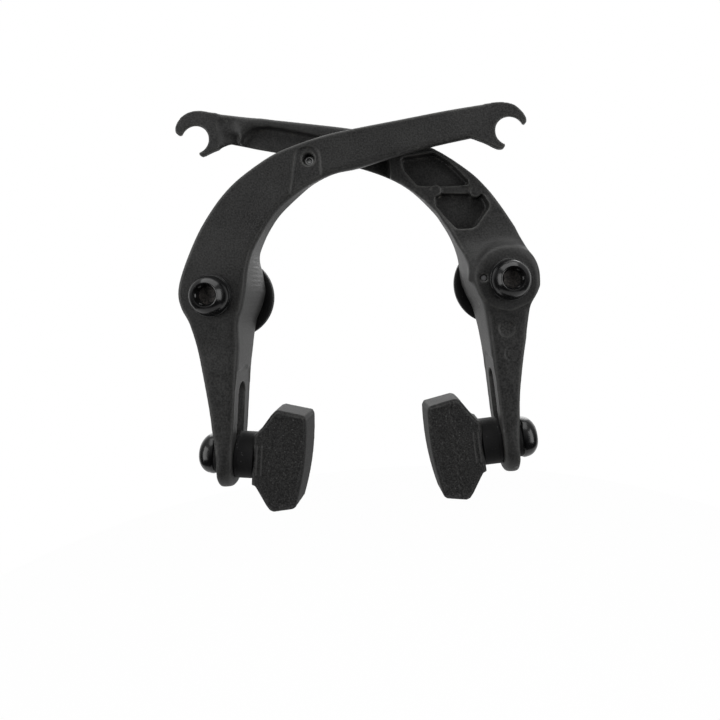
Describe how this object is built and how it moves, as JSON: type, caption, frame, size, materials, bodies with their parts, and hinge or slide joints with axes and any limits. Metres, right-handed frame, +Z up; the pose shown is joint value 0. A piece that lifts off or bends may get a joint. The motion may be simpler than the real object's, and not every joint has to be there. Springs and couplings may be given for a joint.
{
  "type": "u brake",
  "caption": "Two crossing forged arms on parallel pivots, each with a slotted leg, a rubber brake pad on a washer stack and an open cable hook at its tip.",
  "frame": {"origin": "midway between the two pivot axes, on the plane where the spring adjusters meet the bicycle frame", "axes": "+X to the viewer's right, +Y to the rear towards the bicycle frame, +Z up"},
  "size_m": [0.1084, 0.0291, 0.1173],
  "materials": {
    "forged_arm": "satin black over a forged alloy",
    "gloss_hardware": "polished black",
    "satin_hardware": "satin black",
    "spring_wire": "bare spring steel",
    "post_steel": "zinc plated thread",
    "set_screw": "bright plated",
    "bush": "plain bearing bronze",
    "pad_rubber": "matt moulded rubber"
  },
  "bodies": {
    "fixed_pivots": {"left_bush": "bush", "left_spring_adjuster": "satin_hardware", "left_pivot_bolt": "gloss_hardware", "left_pivot_washer": "satin_hardware", "right_bush": "bush", "right_spring_adjuster": "satin_hardware", "right_pivot_bolt": "gloss_hardware", "right_pivot_washer": "satin_hardware"},
    "left_arm_body": {"left_arm": "forged_arm", "left_spring": "spring_wire", "set_screw": "set_screw"},
    "left_slider": {"left_inner_dome_washer": "satin_hardware", "left_outer_dome_washer": "satin_hardware"},
    "left_pad_holder": {"left_cup_washer": "satin_hardware", "left_pad_nut": "gloss_hardware"},
    "left_pad_head": {"left_pad": "pad_rubber", "left_pad_post": "post_steel"},
    "right_arm_body": {"right_arm": "forged_arm", "right_spring": "spring_wire"},
    "right_slider": {"right_inner_dome_washer": "satin_hardware", "right_outer_dome_washer": "satin_hardware"},
    "right_pad_holder": {"right_cup_washer": "satin_hardware", "right_pad_nut": "gloss_hardware"},
    "right_pad_head": {"right_pad": "pad_rubber", "right_pad_post": "post_steel"}
  },
  "joints": [
    {"name": "left_arm_pivot", "type": "hinge", "parent": "fixed_pivots", "child": "left_arm_body", "pos_m": [-0.0415, -0.01335, 0], "axis": [0, -1, 0], "range_deg": [-8, 18], "stiffness_Nm_per_rad": 1.2, "deforming": ["left_spring"]},
    {"name": "left_pad_height", "type": "slide", "parent": "left_arm_body", "child": "left_slider", "axis": [0.1045, 0, 0.9945], "range_m": [-0.0007, 0.018]},
    {"name": "left_pad_toe", "type": "hinge", "parent": "left_slider", "child": "left_pad_holder", "pos_m": [-0.0413, -0.01335, -0.0466], "axis": [0.1045, 0, 0.9945], "range_deg": [-4, 4]},
    {"name": "left_pad_turn", "type": "hinge", "parent": "left_pad_holder", "child": "left_pad_head", "pos_m": [-0.03136, -0.01335, -0.04764], "axis": [0.9945, 0, -0.1045], "range_deg": [-90, 90]},
    {"name": "right_arm_pivot", "type": "hinge", "parent": "fixed_pivots", "child": "right_arm_body", "pos_m": [0.0415, -0.01335, 0], "axis": [0, 1, 0], "range_deg": [-8, 18], "stiffness_Nm_per_rad": 1.2, "deforming": ["right_spring"]},
    {"name": "right_pad_height", "type": "slide", "parent": "right_arm_body", "child": "right_slider", "axis": [-0.0698, 0, 0.9976], "range_m": [-0.0007, 0.018]},
    {"name": "right_pad_toe", "type": "hinge", "parent": "right_slider", "child": "right_pad_holder", "pos_m": [0.0403, -0.01335, -0.0466], "axis": [-0.0698, 0, 0.9976], "range_deg": [-4, 4]},
    {"name": "right_pad_turn", "type": "hinge", "parent": "right_pad_holder", "child": "right_pad_head", "pos_m": [0.03032, -0.01335, -0.0473], "axis": [-0.9976, 0, -0.0698], "range_deg": [-90, 90]}
  ]
}
